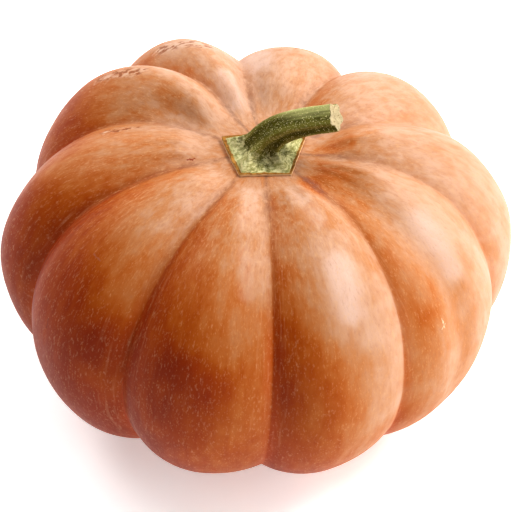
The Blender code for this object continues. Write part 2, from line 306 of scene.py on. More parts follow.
# The stem's colours.
DARK_OLIVE = (0.070, 0.062, 0.003)
OLIVE = (0.155, 0.142, 0.010)
LIGHT_OLIVE = (0.27, 0.25, 0.050)
UPPER_LIT_GREEN = (0.55, 0.545, 0.22)
PALE_GREEN = (0.80, 0.74, 0.40)
FELT_DARK = (0.150, 0.140, 0.025)
FELT = (0.40, 0.375, 0.13)
FELT_PALE = (0.77, 0.73, 0.42)
RIM_BROWN = (0.27, 0.115, 0.016)
RIM_ORANGE = (0.56, 0.29, 0.070)
RIM_CREAM = (0.78, 0.58, 0.36)
CUT_CREAM = (0.56, 0.46, 0.28)
CUT_BROWN = (0.26, 0.16, 0.06)
# Painted rim light along the neck's upper edge.
RIM_LIGHT_TAN = (0.85, 0.66, 0.40)

# How finely the pieces are meshed.
FRUIT_COLUMNS_PER_RIB = 44
FRUIT_RINGS = 220
FIRST_RING_RADIUS = 0.012
LAST_RING_RADIUS = 0.003
RING_CROWDING = 0.6  # 0 spaces the rings evenly, and 1 crowds them at both hollows
STEM_COLUMNS_PER_CORNER = 32
FLARE_RINGS = 60
FLARE_CROWDING = 1.8  # 1 spaces them evenly, and more crowds them at the rim
NECK_RINGS = 110

# The light. The photograph is lit from the right, and its floor is all white.
LIGHT_DISTANCE = 2.0
LIGHT_PANELS = [
    # name, azimuth, elevation, width, height, power
    ("key", 88, 55, 0.6, 0.6, 26.5),
    ("side", 70, 30, 2.0, 1.4, 22),
    ("low_side", 92, 14, 1.5, 0.8, 6.5),
    ("back_fill", 238, 52, 0.9, 0.9, 20),
    ("front_fill", 315, 62, 0.9, 0.9, 3.0),
]
WORLD_STRENGTH = 0.02
PICTURE_GAMMA = 0.80

# The floor, which curves up behind the fruit.
FLOOR_HALF_SIZE = 14.0
FLOOR_BACK = 3.0  # where the curve starts
FLOOR_CURVE_RADIUS = 0.8
FLOOR_CURVE_STEPS = 14
FLOOR_TOP = 4.0
FLOOR_GLOW = 0.50
FAR_GLOW = 1.0  # far from the fruit, where the lamps no longer reach
GLOW_RISE_START = 1.2
GLOW_RISE_END = 2.4

# The camera, at the photograph's viewing angle.
CAMERA_DISTANCE = 0.924  # from the core's middle, at its widest level
CAMERA_ELEVATION = math.radians(45)
SENSOR_WIDTH = 36  # in millimetres, as the lens is
FARTHEST_SEEN = 50
IMAGE_SIZE = 512
CORE_RADIUS_PIXELS = 225.8
PIXELS_PER_METRE = CORE_RADIUS_PIXELS / CORE_RADIUS
MIDDLE_PIXEL = (257.1, 250.2)  # where the photograph shows the core's middle


def ease(x):
    """Run smoothly from 0 to 1 as x does."""
    x = np.clip(x, 0.0, 1.0)
    return x * x * (3 - 2 * x)


def mix(a, b, share):
    """What lies a share of the way from a to b."""
    return a + (b - a) * share


def toward(azimuth, elevation=0.0):
    """The direction to one side of the fruit, as a unit vector."""
    level = math.cos(elevation)
    return np.array([math.sin(azimuth) * level, -math.cos(azimuth) * level, math.sin(elevation)])


def core_profile(way):
    """Radius and height of the core, without ribs, from the stem (0) to the blossom end (1)."""
    angle = np.pi * (0.5 - way)
    radius = CORE_RADIUS * np.abs(np.cos(angle)) ** CORE_FULLNESS
    blossom_hollow = BLOSSOM_HOLLOW_DEPTH * np.exp(-(radius / BLOSSOM_HOLLOW_RADIUS) ** 2)
    scar = BLOSSOM_SCAR_HEIGHT * np.exp(-(radius / BLOSSOM_SCAR_RADIUS) ** 4)
    upper = CORE_RISE * np.sin(angle)
    lower = CORE_DROP * np.sin(angle) + blossom_hollow - scar
    return radius, np.where(way <= 0.5, upper, lower)


def core_normal(way):
    """The core's outward direction, as its parts across and up."""
    step = 0.001
    radius_a, height_a = core_profile(np.maximum(way - step, 0))
    radius_b, height_b = core_profile(np.minimum(way + step, 1))
    length = np.hypot(radius_b - radius_a, height_b - height_a)
    return -(height_b - height_a) / length, (radius_b - radius_a) / length


def way_at_radius(radius, underneath):
    """Where on the way from stem to blossom end the core has this radius."""
    angle = math.acos((radius / CORE_RADIUS) ** (1 / CORE_FULLNESS))
    return 0.5 + angle / math.pi if underneath else 0.5 - angle / math.pi


def groove_azimuth(number, way):
    """Azimuth of a groove, in radians. Numbers past the last rib go round again."""
    stem_azimuth, side_azimuth = RIBS[number % RIB_COUNT][:2]
    turn = 360 * (number // RIB_COUNT)
    return np.radians(mix(stem_azimuth, side_azimuth, np.sin(np.pi * way)) + turn)


def between_ribs(number, column, across):
    """A rib's own value at its crest, running smoothly into its neighbours' at the grooves."""
    before = RIBS[number - 1][column]
    after = RIBS[(number + 1) % RIB_COUNT][column]
    neighbour = np.where(across < 0, before, after)
    return mix(RIBS[number][column], neighbour, ease(np.abs(across) / 2))


def furrow_depth(number, across, way, rib_width):
    """How deep a rib's furrows are at a place on it."""
    depth = np.zeros(np.broadcast(across, way).shape)
    for rib, stem_place, far_place, start, full, fading, end, deepest, half_width in FURROWS:
        if rib == number:
            place = mix(stem_place, far_place, ease((way - start) / (fading - start)))
            off = (across - place) * rib_width / 2 / half_width
            run = ease((way - start) / (full - start)) * (1 - ease((way - fading) / (end - fading)))
            depth = depth + deepest * run * np.exp(-off * off)
    return depth


def fruit_points(number, across, way, relief=0.0):
    """Points of the skin, and their azimuths. Across is from -1 to 1 between a rib's grooves."""
    azimuth_a = groove_azimuth(number, way)
    azimuth_b = groove_azimuth(number + 1, way)
    azimuth = mix(azimuth_a, azimuth_b, (across + 1) / 2)
    radius, height = core_profile(way)
    out, up = core_normal(way)
    share = radius / CORE_RADIUS
    floor_share = ease((way - FLOOR_SWELL_START) / (FLOOR_SWELL_END - FLOOR_SWELL_START))
    swell = mix(RIBS[number][SWELL], FLOOR_SWELL, floor_share)
    swell = swell * share ** SWELL_GROWTH * (azimuth_b - azimuth_a) / EVEN_RIB_WIDTH
    roundness = CREST_ROUNDNESS + GROOVE_SOFTENING * (1 - share) ** 2
    from_groove = np.hypot(1 - np.abs(across), GROOVE_ROUNDING) - GROOVE_ROUNDING
    crest = np.clip(from_groove * (2 - from_groove), 0, 1) ** roundness
    swell = swell * crest * (1 + RIBS[number][LEAN] * across)
    swell = swell - furrow_depth(number, across, way, (azimuth_b - azimuth_a) * radius) + relief
    lift = 1 + between_ribs(number, LIFT, across) / CORE_RISE
    radius = (radius + swell * out) * (1 + between_ribs(number, REACH, across) / CORE_RADIUS)
    # The ribs begin close round the stem, and the level seat runs out slowly under them.
    rib_share = ease((radius - SEAT_RADIUS) / (RIB_START_RADIUS - SEAT_RADIUS))
    bowl_share = ease((radius - SEAT_RADIUS) / (HOLLOW_RADIUS - SEAT_RADIUS))
    top = mix(SEAT_HEIGHT, height * lift, bowl_share) + swell * up * rib_share
    height = np.where(height > 0, top, height + swell * up)
    x = AXIS_X + radius * np.sin(azimuth) + LEAN_X * height
    y = AXIS_Y - radius * np.cos(azimuth) + LEAN_Y * height
    # Its own weight has pressed the lowest part of each rib flat on the floor.
    z = np.maximum(height + WIDEST_HEIGHT, 0)
    return np.stack([x, y, z], axis=-1), azimuth


def skin_point(number, across, way):
    """One point of the skin, without relief."""
    return Vector(fruit_points(number, np.array([[across]]), np.array([[way]]))[0].reshape(3))


def line_on_skin(row):
    """The ends of the line that a row's first six values give, then its other values."""
    rib_a, across_a, way_a, rib_b, across_b, way_b, *others = row
    return skin_point(rib_a, across_a, way_a), skin_point(rib_b, across_b, way_b), *others


def distances_to_line(places, start, end):
    """How far each place is from the straight line between two points."""
    start, run = np.array(start), np.array(end - start)
    along = np.clip((places - start) @ run / (run @ run), 0, 1)
    return np.linalg.norm(places - start - along[:, None] * run, axis=1)


def add_object(name, data):
    """A new object with this data, linked to the scene."""
    thing = bpy.data.objects.new(name, data)
    bpy.context.scene.collection.objects.link(thing)
    return thing


def mesh_piece(name, points, faces):
    """A smooth mesh object."""
    data = bpy.data.meshes.new(name)
    data.from_pydata([tuple(p) for p in points], [], faces)
    data.shade_smooth()
    data.update()
    return add_object(name, data)


def tube_faces(rings, columns):
    """Quads between rings that follow one another, then a fan at either end."""
    faces = []
    for i in range(rings - 1):
        upper, lower = i * columns, (i + 1) * columns
        for j in range(columns):
            k = (j + 1) % columns
            faces.append((upper + j, lower + j, lower + k, upper + k))
    last_ring = (rings - 1) * columns
    first, last = rings * columns, rings * columns + 1
    for j in range(columns):
        k = (j + 1) % columns
        faces.append((first, j, k))
        faces.append((last, last_ring + k, last_ring + j))
    return faces


def add_attribute(piece, name, values):
    """Give each point of a piece its own number or vector."""
    values = np.asarray(values, dtype=np.float32)
    kind, key = ("FLOAT_VECTOR", "vector") if values.ndim == 2 else ("FLOAT", "value")
    attribute = piece.data.attributes.new(name, kind, "POINT")
    attribute.data.foreach_set(key, values.ravel())


def lengths_along(grid):
    """How far along the surface each ring lies from the first, on average."""
    steps = np.linalg.norm(np.diff(grid, axis=0), axis=2).mean(axis=1)
    return np.concatenate([[0], np.cumsum(steps)])


def noise_over(places, scale):
    """Smooth noise, about -1 to 1, at each of a grid of places."""
    flat = places.reshape(-1, 3) * scale
    return np.array([noise.noise(Vector(place)) for place in flat]).reshape(places.shape[:-1])


def noise_round(azimuth, per_radian, along=0.0):
    """Smooth noise, about -1 to 1, that meets itself again after a whole turn."""
    return noise.noise(Vector((per_radian * math.sin(azimuth), per_radian * math.cos(azimuth), along)))


def skin_relief(rest, azimuth, way):
    """Soft lumps, folds that run down the skin, and stronger folds close round the stem."""
    down = np.broadcast_to(way, azimuth.shape)
    right, front = np.sin(azimuth), np.cos(azimuth)
    folds = noise_over(np.stack([right, -front, FOLD_CHANGE * down], axis=-1), FOLDS_PER_RADIAN)
    stem_folds = np.stack([right, front, STEM_FOLD_CHANGE * down], axis=-1)
    stem_folds = noise_over(stem_folds, STEM_FOLDS_PER_RADIAN)
    near_stem = ease((STEM_FOLDS_END - down) / STEM_FOLDS_FADE)
    above_floor = ease((RELIEF_END - down) / RELIEF_FADE)
    lumps = noise_over(rest, LUMPS_PER_METRE) * LUMP_HEIGHT
    folds = folds * FOLD_HEIGHT + stem_folds * STEM_FOLD_HEIGHT * near_stem
    return (lumps + folds) * above_floor


def cloud_covers(rows, rest):
    """Each cloud's last value where it is whole, fading out to 0 round it."""
    for row in rows:
        start, end, half_width, most = line_on_skin(row)
        yield most * ease(CLOUD_REACH - distances_to_line(rest, start, end) / half_width)


def ripeness_and_light(way, rest, normals):
    """How ripe the skin looks at each point, with its painted light and shade, before the fine clouding
    of its material.
    """
    ways, values = zip(*RIPENESS_BY_WAY)
    ripe_and_lit = np.interp(way, ways, values)
    # Painted light and shade: paler towards the lamps, riper away from them.
    ripe_and_lit -= LIT_SIDE_PALING * (normals @ toward(LIT_SIDE_AZIMUTH, LIT_SIDE_ELEVATION))
    ripe_and_lit -= PALE_HALF_PALING * (rest @ toward(PALE_HALF_AZIMUTH)) / CORE_RADIUS
    for shift in cloud_covers(CLOUDS_AND_PAINTED_LIGHT, rest):
        ripe_and_lit += shift
    return ripe_and_lit


def ring_ways():
    """The way down to each ring of the skin's points. They crowd together at both hollows."""
    first = way_at_radius(FIRST_RING_RADIUS, underneath=False)
    last = way_at_radius(LAST_RING_RADIUS, underneath=True)
    run = np.linspace(0, 1, FRUIT_RINGS)
    return mix(first, last, mix(run, 0.5 - 0.5 * np.cos(np.pi * run), RING_CROWDING))[:, None]


def whole(values, at_stem=0, at_blossom=0):
    """A value for each point of the fruit: those of its rings, then its two middle points."""
    grid = np.broadcast_to(values, (FRUIT_RINGS, RIB_COUNT * FRUIT_COLUMNS_PER_RIB)).reshape(-1)
    return np.concatenate([grid, [at_stem, at_blossom]])


def make_fruit():
    """The fruit's skin with its low relief, and what its material reads at each point."""
    way = ring_ways()
    steps = np.arange(FRUIT_COLUMNS_PER_RIB) / FRUIT_COLUMNS_PER_RIB
    across = np.sin(np.pi * (steps - 0.5))[None, :]
    plain = [fruit_points(number, across, way) for number in range(RIB_COUNT)]
    rest = np.concatenate([block for block, _ in plain], axis=1)
    azimuth = np.concatenate([turns for _, turns in plain], axis=1)
    relief = np.split(skin_relief(rest, azimuth, way), RIB_COUNT, axis=1)
    raised = [fruit_points(number, across, way, relief[number]) for number in range(RIB_COUNT)]
    points = np.concatenate([block for block, _ in raised], axis=1)
    middles = [skin_point(0, -1.0, 0.0), skin_point(0, -1.0, 1.0)]
    flat = np.concatenate([points.reshape(-1, 3), middles])
    fruit = mesh_piece("pumpkin_skin", flat, tube_faces(FRUIT_RINGS, points.shape[1]))

    # The flow is the skin unrolled, in metres, and as wide everywhere as at its widest. The field
    # narrows towards both ends, though less than the skin does.
    along = lengths_along(points)[:, None] + FIRST_RING_RADIUS
    right, back = CORE_RADIUS * np.sin(azimuth), -CORE_RADIUS * np.cos(azimuth)
    flow = np.stack([whole(right), whole(back), whole(along, 0, along[-1, 0])], axis=-1)
    narrowing = whole(np.sqrt(core_profile(way)[0] / CORE_RADIUS))
    field = flow * np.stack([narrowing, narrowing, np.ones(len(flow))], axis=-1)
    add_attribute(fruit, "flow", flow)
    add_attribute(fruit, "field", field)

    # Each point's place before the relief, which the marks are measured from.
    places = np.concatenate([rest.reshape(-1, 3), middles])
    down = whole(way, 0, 1)
    normals = np.array([tuple(corner.normal) for corner in fruit.data.vertices])
    add_attribute(fruit, "rest", places)
    add_attribute(fruit, "way", down)
    add_attribute(fruit, "crest", whole(np.tile(1 - np.abs(across), (1, RIB_COUNT))))
    add_attribute(fruit, "ripe_and_lit", ripeness_and_light(down, places, normals))
    # How much painted sheen covers each point.
    add_attribute(fruit, "painted_sheen", np.max(list(cloud_covers(PAINTED_SHEEN_PLACES, places)), axis=0))
    return fruit


def foot_middle():
    """Where the neck's middle line starts, on the fruit's level seat."""
    x = AXIS_X + LEAN_X * SEAT_HEIGHT
    y = AXIS_Y + LEAN_Y * SEAT_HEIGHT
    return Vector((x, y, WIDEST_HEIGHT + SEAT_HEIGHT)) + Vector((STEM_OFFSET_X, STEM_OFFSET_Y, 0))


def neck_line(along):
    """A point of the neck's middle line and its direction, from the foot (0) to the cut (1)."""
    sideways = Vector(toward(math.radians(BEND_AZIMUTH)))
    up = Vector((0, 0, 1))
    end_angle = math.radians(BEND_END_ANGLE)
    end_direction = math.sin(end_angle) * sideways + math.cos(end_angle) * up
    foot = foot_middle()
    end = foot + BEND_REACH * sideways + BEND_RISE * up
    foot_pull = foot + BEND_FOOT_PULL * up + BEND_FOOT_LEAN * sideways
    end_pull = end - BEND_END_PULL * end_direction
    back = 1 - along
    point = (back ** 3 * foot + 3 * along * back ** 2 * foot_pull
             + 3 * along ** 2 * back * end_pull + along ** 3 * end)
    direction = (back ** 2 * (foot_pull - foot) + 2 * along * back * (end_pull - foot_pull)
                 + along ** 2 * (end - end_pull))
    return point, direction.normalized(), sideways


def neck_point(along, azimuth, share, inset=0.0):
    """A point of the neck, or one that lies inset under its surface."""
    middle, direction, sideways = neck_line(along)
    level = Vector((0, 0, 1)).cross(sideways)
    outward = level.cross(direction)
    ridge = RIDGE_HEIGHT * math.cos(2 * math.pi * share)
    radius = NECK_RADIUS + NECK_ROOT_EXTRA * (1 - along) ** 3 + ridge
    turn = azimuth - math.radians(BEND_AZIMUTH)
    return middle + (radius - inset) * (math.cos(turn) * outward + math.sin(turn) * level)


def foot_outline(corner, share):
    """The foot's edge, a share of the way from one corner to the next.

    Gives its azimuth, distance out and rim height, and how soon the foot runs out from there.
    """
    azimuth_a, out_a, rim_a, sharpness_a, drawn_in = FOOT_CORNERS[corner]
    azimuth_b, out_b, rim_b, sharpness_b, _ = FOOT_CORNERS[(corner + 1) % CORNER_COUNT]
    azimuth_a = math.radians(azimuth_a)
    azimuth_b = math.radians(azimuth_b + (360 if azimuth_b < math.degrees(azimuth_a) else 0))
    azimuth = mix(azimuth_a, azimuth_b, share)
    # Where the ray at this azimuth meets the straight line between the corners, then drawn in.
    spread = math.sin(azimuth_b - azimuth_a) * out_a * out_b
    out = spread / (out_a * math.sin(azimuth - azimuth_a) + out_b * math.sin(azimuth_b - azimuth))
    out -= drawn_in * math.sin(math.pi * share)
    sharpness = mix(sharpness_a, sharpness_b, share) * (1 - BUTTRESS * math.cos(2 * math.pi * share))
    return azimuth, out, mix(rim_a, rim_b, share), sharpness


def foot_point(base, azimuth, distance, height):
    """A point at a distance from the foot's middle, and at a height over its underside."""
    return base + Vector((math.sin(azimuth) * distance, -math.cos(azimuth) * distance, height))


def foot_relief(base, point, share, left):
    """How far the foot's upper face rises above its plain flare, and how shaded it is there."""
    across = point - base
    buttress = BUTTRESS_HEIGHT * math.cos(math.pi * min(share, 1 - share)) ** BUTTRESS_SHARPNESS
    rise = buttress * 4 * left * (1 - left)
    shade = 0.0
    for azimuth, out, radius, depth, darkness in FOOT_HOLLOWS:
        turn = math.radians(azimuth)
        off = math.hypot(across.x - out * math.sin(turn), across.y + out * math.cos(turn))
        near = math.exp(-(off / radius) ** 2)
        rise -= depth * near * min(1, HOLLOW_ONSET * (1 - left))
        shade = max(shade, darkness * near)
    lump = FOOT_LUMP_HEIGHT * noise.noise(point * FOOT_LUMPS_PER_METRE)
    return rise + lump * min(1, FOOT_LUMP_ONSET * left), shade


def stem_columns():
    """What is the same all along each column of the stem's points, going round the foot."""
    columns = []
    for corner in range(CORNER_COUNT):
        for j in range(STEM_COLUMNS_PER_CORNER):
            share = j / STEM_COLUMNS_PER_CORNER
            azimuth, out, rim_height, sharpness = foot_outline(corner, share)
            wobble = noise_round(azimuth, RIM_WOBBLES_PER_RADIAN)
            band = mix(RIM_BANDS[corner], RIM_BANDS[(corner + 1) % CORNER_COUNT], share)
            columns.append({
                "azimuth": azimuth,
                "share": share,
                "out": out - RIM_WOBBLE * abs(wobble),
                "rim_height": rim_height * (1 + RIM_HEIGHT_WOBBLE * wobble),
                "band": band * (1 + RIM_BAND_WOBBLE * wobble),
                "sharpness": sharpness,
                "ridge": 0.5 + 0.5 * math.cos(2 * math.pi * share),
                # A strip of painted rim light, and the upper side that is painted lighter.
                "rim_light": math.exp(-((math.degrees(azimuth) - RIM_LIGHT_AZIMUTH) / RIM_LIGHT_WIDTH) ** 2),
                "upper": math.cos(azimuth - math.radians(UPPER_SIDE)),
            })
    return columns


def rim_rings(base, columns):
    """The rim's side, from under the foot up to its upper face."""
    for drawn_in, height, edge in RIM_SIDE:
        ring = [foot_point(base, column["azimuth"], column["out"] - drawn_in * FOOT_BEVEL,
                           height * column["rim_height"]) for column in columns]
        yield ring, {"rim": 1, "edge": edge, "foot": 1}


def flare_rings(base, columns):
    """The foot's upper face, which sweeps up into the neck."""
    ridges = [column["ridge"] for column in columns]
    for i in range(FLARE_RINGS):
        step = (i / FLARE_RINGS) ** FLARE_CROWDING
        ring, rims, feet, shades = [], [], [], []
        for column in columns:
            azimuth, share, band = column["azimuth"], column["share"], column["band"]
            left = (1 - step) ** column["sharpness"]
            along = mix(column["rim_height"] * FLARE_START / NECK_LENGTH, FLARE_END, step)
            rise = neck_line(along)[0].z - base.z
            edge = foot_point(base, azimuth, column["out"] - FOOT_BEVEL, rise)
            point = neck_point(along, azimuth, share).lerp(edge, left)
            inside = (point - edge).length
            lump, shade = foot_relief(base, point, share, left)
            point.z += lump * min(1, FOOT_RELIEF_ONSET * inside / band)
            point.z = max(point.z, base.z + LOWEST_FACE * column["rim_height"])
            ring.append(point)
            rims.append(1 - min(1, inside / band))
            feet.append(left)
            shades.append(shade)
        yield ring, {"rim": rims, "foot": feet, "ridge": ridges, "shade": shades}


def neck_rings(columns):
    """The bent neck with its fibres, from the flare to the cut."""
    for i in range(NECK_RINGS):
        along = mix(FLARE_END, 1.0, i / (NECK_RINGS - 1))
        bent = ease((along - BENT_START) / BENT_RUN)
        ring = []
        for column in columns:
            azimuth = column["azimuth"]
            fibre = noise_round(azimuth, FIBRES_PER_RADIAN, FIBRE_CHANGE * along)
            ring.append(neck_point(along, azimuth, column["share"], -FIBRE_HEIGHT * fibre))
        yield ring, {
            "ridge": [column["ridge"] for column in columns],
            "rim_light": [column["rim_light"] * bent for column in columns],
            "upper": [column["upper"] * bent for column in columns],
        }


def cut_rings(columns):
    """The ragged edge of the cut, and its face."""
    direction = neck_line(1.0)[1]
    for inset, sink in CUT_FACE:
        ring = []
        for column in columns:
            azimuth = column["azimuth"]
            ragged = noise_round(azimuth, CUT_WOBBLES_PER_RADIAN, CUT_WOBBLE_CHANGE * inset)
            point = neck_point(1.0, azimuth, column["share"], inset * NECK_RADIUS)
            ring.append(point - direction * (sink * CUT_RIM + CUT_WOBBLE * ragged * (1 - inset)))
        yield ring, {"cut": 1, "ridge": [column["ridge"] for column in columns]}


def make_stem():
    """The stem, from its foot to its cut, and what its material reads at each point."""
    base = foot_middle()
    columns = stem_columns()
    rings = [*rim_rings(base, columns), *flare_rings(base, columns)]
    rings += [*neck_rings(columns), *cut_rings(columns)]
    end, direction, _ = neck_line(1.0)
    points = [point for ring, _ in rings for point in ring]
    points += [base, end - direction * CUT_DISH]
    stem = mesh_piece("pumpkin_stalk", points, tube_faces(len(rings), len(columns)))
    for name in STEM_MARKS:
        values = []
        for ring, marks in rings:
            mark = marks.get(name, 0)
            values += mark if isinstance(mark, list) else [mark] * len(ring)
        at_foot, at_cut = name in ("rim", "edge", "foot"), name == "cut"
        add_attribute(stem, name, values + [at_foot, at_cut])

    # Round the stem and along its surface, in metres: where the fibres lie.
    along = lengths_along(np.array([[tuple(point) for point in ring] for ring, _ in rings]))
    turns = np.array([[column["azimuth"] for column in columns]])
    right, back = NECK_RADIUS * np.sin(turns), -NECK_RADIUS * np.cos(turns)
    flow = np.stack(np.broadcast_arrays(right, back, along[:, None]), axis=-1)
    ends = [(0, 0, 0), (0, 0, along[-1])]
    add_attribute(stem, "flow", np.concatenate([flow.reshape(-1, 3), ends]))
    return stem


class Nodes:
    """A material's node tree, with short calls for the nodes used here."""

    def __init__(self, name):
        self.material = bpy.data.materials.new(name)
        self.material.use_nodes = True
        self.tree = self.material.node_tree

    def plug(self, socket, value):
        """Link another node's output to a socket, or set the socket to a number or colour."""
        if isinstance(value, bpy.types.NodeSocket):
            self.tree.links.new(value, socket)
        elif socket.type == "RGBA":
            socket.default_value = (*value, 1)
        else:
            socket.default_value = value

    def give(self, name, value):
        """Set one of the shader's own inputs."""
        self.plug(self.tree.nodes["Principled BSDF"].inputs[name], value)

    def node(self, kind, inputs, **settings):
        """The outputs of a new node with these inputs and settings."""
        node = self.tree.nodes.new("ShaderNode" + kind)
        for name, value in settings.items():
            setattr(node, name, value)
        for name, value in inputs.items():
            self.plug(node.inputs[name], value)
        return node.outputs

    def attribute(self, name, output="Fac"):
        """What the mesh says at each point under this name."""
        return self.node("Attribute", {}, attribute_name=name)[output]

    def place(self):
        """Where on the object, in metres."""
        return self.node("TexCoord", {})["Object"]

    def stretched(self, vector, x=1.0, z=1.0):
        """The vector scaled along X and Z. Less than 1 draws a pattern out along that axis."""
        return self.node("Mapping", {"Vector": vector, "Scale": (x, 1, z)})["Vector"]

    def noise(self, vector, scale, detail, roughness=0.5, distortion=0.0, output="Fac"):
        """Smooth noise from 0 to 1, mostly near its middle."""
        return self.node("TexNoise", {"Vector": vector, "Scale": scale, "Detail": detail,
                                      "Roughness": roughness, "Distortion": distortion})[output]

    def speckles(self, vector, scale, radius, few):
        """Soft dots of uneven size, one in a cell, and none in a share of the cells."""
        cells = self.node("TexVoronoi", {"Vector": vector, "Scale": scale})
        size = self.node("SeparateColor", {"Color": cells["Color"]})["Red"]
        reach = self.band(size, few, 1.0, 0.0, radius)
        return self.band(self.maths("SUBTRACT", reach, cells["Distance"]), 0.0, DOT_EDGE)

    def vector_maths(self, operation, a, b, output="Vector"):
        """A sum on two vectors, or on a vector and a number."""
        second = "Scale" if operation == "SCALE" else 1
        return self.node("VectorMath", {0: a, second: b}, operation=operation)[output]

    def distance_to_line(self, place, start, end):
        """How far each place is from the straight line between two points."""
        run = end - start
        from_start = self.vector_maths("SUBTRACT", place, start)
        along = self.vector_maths("DOT_PRODUCT", from_start, run, "Value")
        along = self.maths("MULTIPLY", along, 1 / run.length_squared, clamp=True)
        nearest = self.vector_maths("SCALE", run, along)
        return self.vector_maths("DISTANCE", from_start, nearest, "Value")

    def shaken(self, place, scale, reach):
        """The place, moved about a little, so that a mark has a ragged edge."""
        push = self.noise(place, scale, 2, output="Color")
        push = self.vector_maths("SUBTRACT", push, (0.5, 0.5, 0.5))
        return self.vector_maths("ADD", place, self.vector_maths("SCALE", push, 2 * reach))

    def ramp(self, value, stops):
        """A colour for each value, running evenly between the stops, from 0 to 1."""
        node = self.tree.nodes.new("ShaderNodeValToRGB")
        for position, _ in stops[1:-1]:
            node.color_ramp.elements.new(position)
        for element, (_, colour) in zip(node.color_ramp.elements, stops):
            element.color = (*colour, 1)
        self.plug(node.inputs["Fac"], value)
        return node.outputs["Color"]

    def maths(self, operation, a, b, clamp=False):
        """A sum on two numbers."""
        return self.node("Math", {0: a, 1: b}, operation=operation, use_clamp=clamp)[0]

    def total(self, first, *others):
        """All the values added up."""
        for other in others:
            first = self.maths("ADD", first, other)
        return first

    def product(self, first, *others):
        """All the values multiplied."""
        for other in others:
            first = self.maths("MULTIPLY", first, other)
        return first

    def band(self, value, low, high, to_low=0.0, to_high=1.0):
        """Run smoothly from to_low to to_high as the value goes from low to high."""
        inputs = {"Value": value, "From Min": low, "From Max": high, "To Min": to_low, "To Max": to_high}
        return self.node("MapRange", inputs, interpolation_type="SMOOTHSTEP")["Result"]

    def swing(self, value, low, high, reach):
        """The same, from minus the reach to the reach."""
        return self.band(value, low, high, -reach, reach)

    def blend(self, share, a, b):
        """The colour that lies a share of the way from a to b."""
        return self.node("Mix", {"Factor": share, 6: a, 7: b}, data_type="RGBA")[2]

    def tinted(self, colour, tint, *shares):
        """The colour with a tint laid over it, as much as all the shares multiplied say."""
        return self.blend(self.product(*shares), colour, tint)

    def bump(self, height, distance, strength, under=None):
        """The surface's direction, tilted by a relief that is this high at height 1."""
        inputs = {"Strength": strength, "Distance": distance, "Height": height}
        if under is not None:
            inputs["Normal"] = under
        return self.node("Bump", inputs)["Normal"]


def scratched(n, colour, rest):
    """The skin's colour with its old scratches."""
    ragged = n.shaken(rest, 500, 0.0009)
    for row in SCRATCHES:
        start, end, half_width, tint = line_on_skin(row)
        off = n.distance_to_line(ragged, start, end)
        colour = n.tinted(colour, tint, n.band(off, half_width, MARK_CORE * half_width, 0.0, 0.85))
    return colour


def corky(n, rest):
    """How far each place lies in one of the corky patches, from 0 to 1."""
    ragged = n.shaken(rest, 220, 0.004)
    cork = 0.0
    for row in CORKY_PATCHES:
        start, end, half_width = line_on_skin(row)
        off = n.distance_to_line(ragged, start, end)
        cork = n.maths("MAXIMUM", cork, n.band(off, half_width, MARK_CORE * half_width))
    return cork


